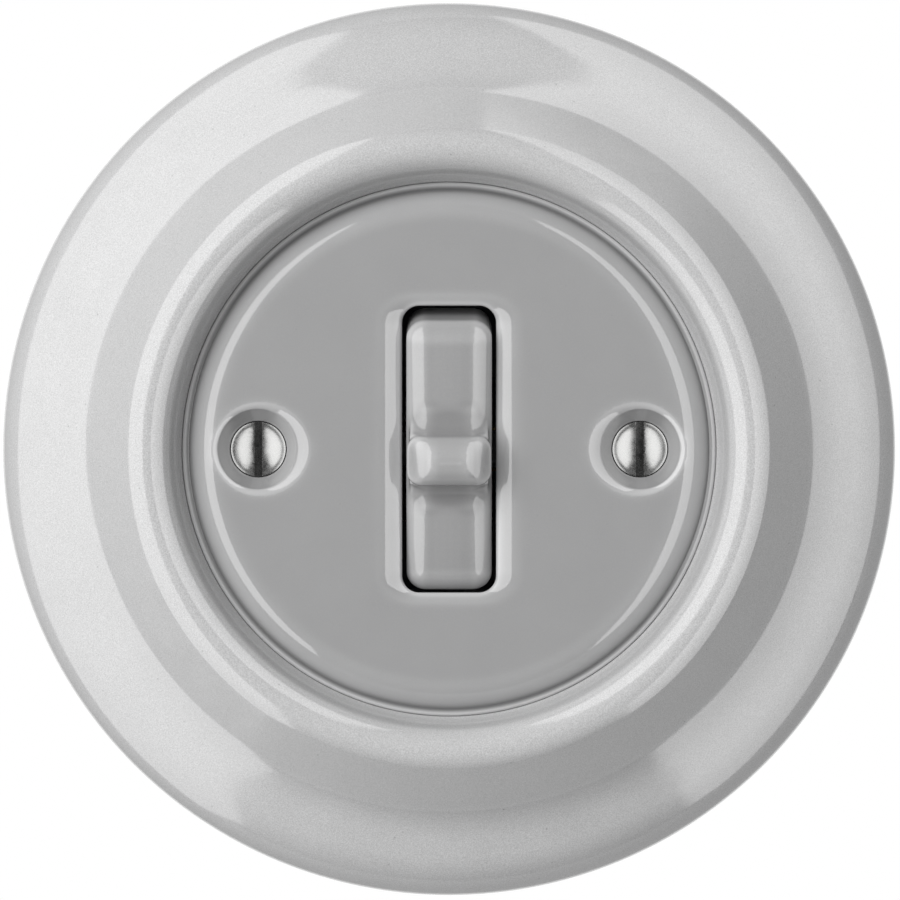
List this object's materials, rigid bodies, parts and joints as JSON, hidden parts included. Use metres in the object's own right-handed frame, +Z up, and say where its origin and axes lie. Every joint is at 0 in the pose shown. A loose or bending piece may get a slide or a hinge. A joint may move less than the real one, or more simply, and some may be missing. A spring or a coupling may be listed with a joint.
{
  "type": "round porcelain toggle light switch",
  "caption": "Round flush-mounted light switch: glazed ogee frame ring, domed plate with slotted screws, and a rocking toggle over a two-way contact mechanism.",
  "frame": {"origin": "centre of the switch on the wall's surface", "axes": "+X to the right and +Z up as the switch is seen, +Y into the wall; the front faces -Y"},
  "size_m": [0.1, 0.0396, 0.1],
  "materials": {
    "frame_glaze": "glossy grey glaze with a fine speckle",
    "plate_glaze": "smooth glossy grey glaze, a little darker than the frame's",
    "toggle_glaze": "smooth glossy grey glaze",
    "screw_nickel": "nickel-plated, fine turned grain",
    "strap_steel": "zinc-plated sheet",
    "base_moulding": "moulded thermoset, satin",
    "carrier_moulding": "moulded plastic, satin",
    "bridge_moulding": "moulded plastic, satin",
    "brass": "plain brass",
    "contact_silver": "silver contact metal",
    "spring_steel": "spring wire",
    "pin_steel": "ground pin"
  },
  "bodies": {
    "base": {"outer_frame": "frame_glaze", "cover_plate": "plate_glaze", "cover_screws": "screw_nickel", "cover_posts": "brass", "mounting_strap": "strap_steel", "switch_base": "base_moulding", "rear_cover": "base_moulding", "bearing_bridge": "bridge_moulding", "bridge_screws": "strap_steel", "pivot_pin": "pin_steel", "fixed_contacts": "contact_silver", "common_terminal": "brass", "upper_terminal": "brass", "lower_terminal": "brass", "terminal_screws": "strap_steel"},
    "toggle": {"toggle": "toggle_glaze", "toggle_carrier": "carrier_moulding", "plunger_spring": "spring_steel"},
    "plunger": {"plunger": "brass"},
    "blade": {"contact_blade": "brass", "moving_contacts": "contact_silver"}
  },
  "joints": [
    {"name": "toggle_tilt", "type": "hinge", "parent": "base", "child": "toggle", "pos_m": [0, -0.0065, 0], "axis": [1, 0, 0], "range_deg": [-14, 0]},
    {"name": "plunger_slide", "type": "slide", "parent": "toggle", "child": "plunger", "axis": [0, -0.9925, -0.1219], "range_m": [0, 0.0012], "stiffness_N_per_m": 1500, "springref_m": -0.002, "deforming": ["plunger_spring"]},
    {"name": "blade_rock", "type": "hinge", "parent": "base", "child": "blade", "pos_m": [0, 0.00703, 0], "axis": [1, 0, 0], "range_deg": [0, 16]}
  ],
  "couplings": [
    {"joint": "blade_rock", "follows": "toggle_tilt", "ratio": -1.1429}
  ]
}
